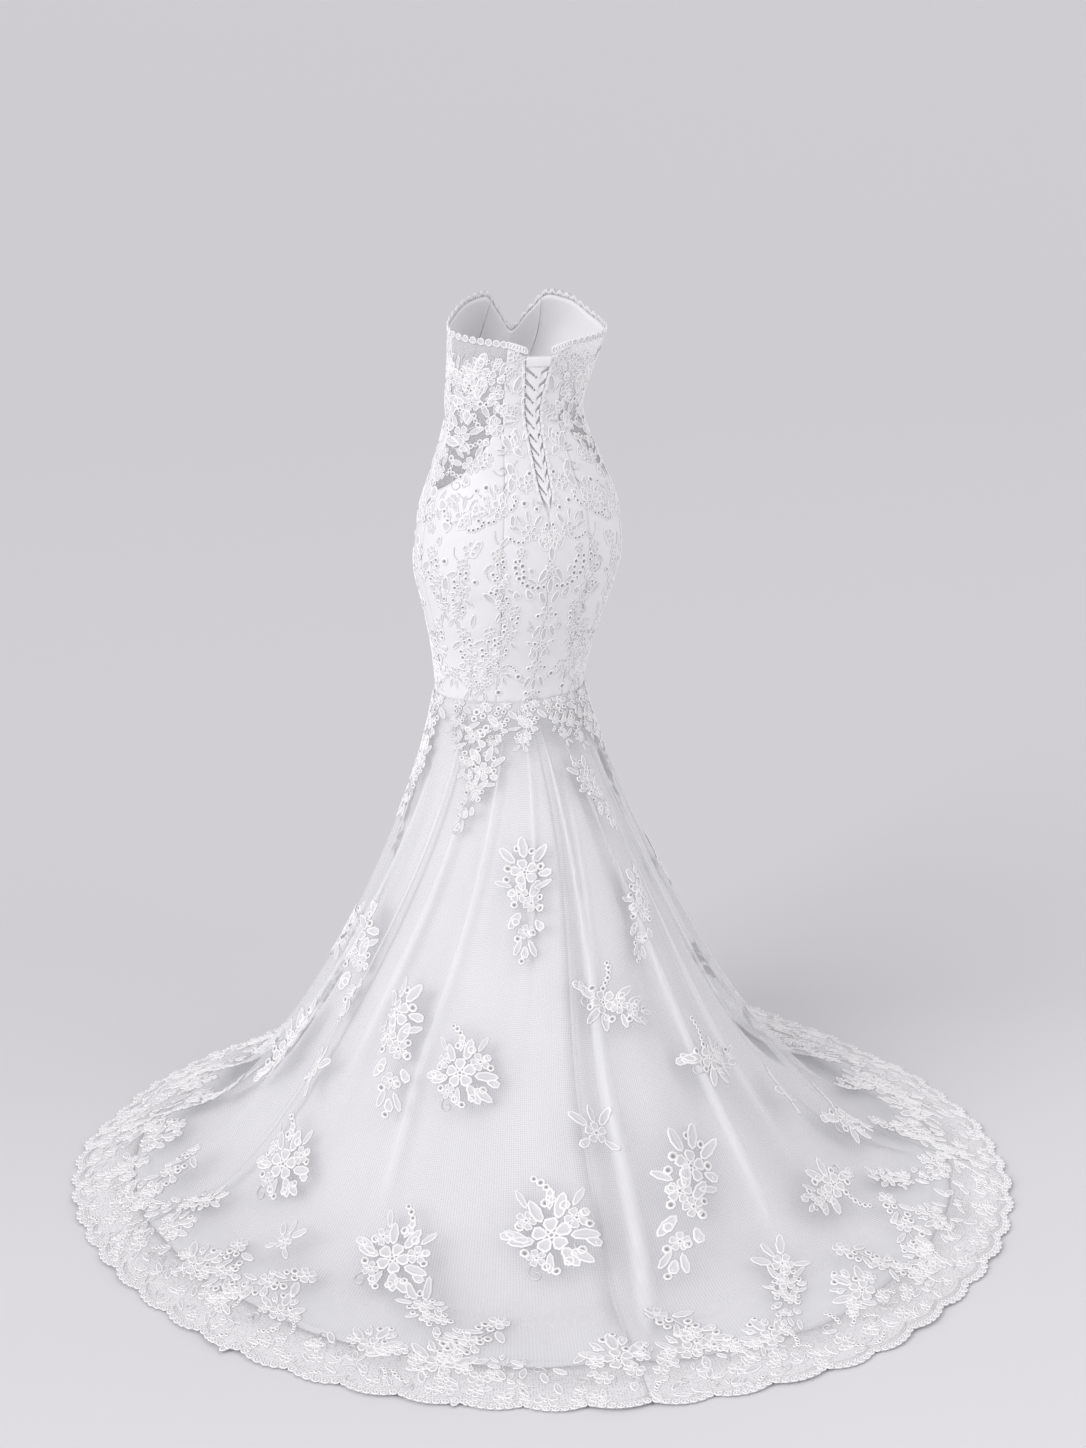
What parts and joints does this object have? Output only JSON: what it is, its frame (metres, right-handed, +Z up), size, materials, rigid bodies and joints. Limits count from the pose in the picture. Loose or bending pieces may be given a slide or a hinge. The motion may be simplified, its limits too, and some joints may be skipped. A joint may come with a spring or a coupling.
{
  "type": "mermaid gown",
  "caption": "Strapless mermaid gown in worn form, fitted to the knee, with a laced back, a sheer net skirt over satin and a chapel train with a scalloped lace hem.",
  "frame": {"origin": "centre of the waist, where the gown grips whoever wears it; the floor is 1.22 m below", "axes": "+Z up, the front faces -Y, the train runs toward +Y, and the wearer's left is +X"},
  "size_m": [1.5439, 1.5957, 1.4023],
  "materials": {
    "satin": "white bridal satin under corded floral lace, soft sheen",
    "sheer_inset": "sheer fine net with corded lace motifs",
    "soft_net": "soft white tulle with scattered corded lace sprays",
    "corded_lace": "white corded lace with a scalloped edge",
    "satin_ribbon": "flat white satin ribbon"
  },
  "bodies": {
    "root": {"front_panel": "satin", "side_front_left": "satin", "side_front_right": "satin", "side_back_left": "satin", "side_back_right": "satin", "centre_back_left": "satin", "centre_back_right": "satin", "modesty_panel": "satin", "underskirt_front": "satin", "underskirt_left": "satin", "underskirt_right": "satin", "underskirt_back_left": "satin", "underskirt_back_right": "satin", "sheer_inset_left": "sheer_inset", "sheer_inset_right": "sheer_inset", "net_skirt_front": "soft_net", "net_skirt_left": "soft_net", "net_skirt_right": "soft_net", "net_skirt_back_left": "soft_net", "net_skirt_back_right": "soft_net", "hem_lace_front": "corded_lace", "hem_lace_left": "corded_lace", "hem_lace_right": "corded_lace", "hem_lace_back_left": "corded_lace", "hem_lace_back_right": "corded_lace", "top_lace_front": "corded_lace", "top_lace_left": "corded_lace", "top_lace_right": "corded_lace", "lacing_ribbon": "satin_ribbon", "loop_tape_left": "satin_ribbon", "loop_tape_right": "satin_ribbon"}
  },
  "joints": []
}
